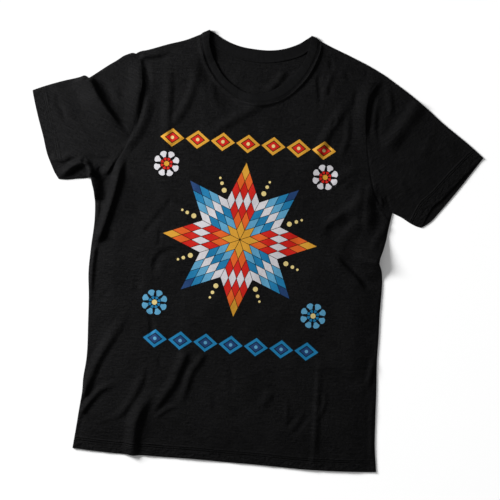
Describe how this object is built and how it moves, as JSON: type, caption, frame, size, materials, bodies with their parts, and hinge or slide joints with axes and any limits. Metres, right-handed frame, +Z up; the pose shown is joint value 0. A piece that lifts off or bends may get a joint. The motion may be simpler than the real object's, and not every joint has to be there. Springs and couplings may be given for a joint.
{
  "type": "printed t-shirt laid flat",
  "caption": "Black short-sleeved crew-neck T-shirt laid flat on its back, with a geometric print in red, blue and gold on its front.",
  "frame": {"origin": "on the underside of the back panel, on the garment's centre line, about midway between the hem and the shoulders", "axes": "+Z up through the printed front, +Y from the hem to the neck, +X towards the wearer's left sleeve"},
  "size_m": [0.7711, 0.7346, 0.0179],
  "materials": {
    "black_jersey": "matte knit",
    "black_rib": "matte ribbed knit",
    "red_ink": "screen print",
    "gold_ink": "screen print",
    "navy_ink": "screen print",
    "pale_ink": "screen print",
    "blue_ink": "screen print"
  },
  "bodies": {
    "root": {"front_panel": "black_jersey", "back_panel": "black_jersey", "right_sleeve": "black_jersey", "left_sleeve": "black_jersey", "front_hem_fold": "black_jersey", "back_hem_fold": "black_jersey", "right_cuff_fold": "black_jersey", "left_cuff_fold": "black_jersey", "back_neck_tape": "black_jersey", "neck_rib": "black_rib", "print_star": "red_ink", "print_upper_band": "gold_ink", "print_lower_band": "navy_ink", "print_upper_rosette_right": "pale_ink", "print_upper_rosette_left": "pale_ink", "print_lower_rosette_right": "blue_ink", "print_lower_rosette_left": "blue_ink"}
  },
  "joints": []
}
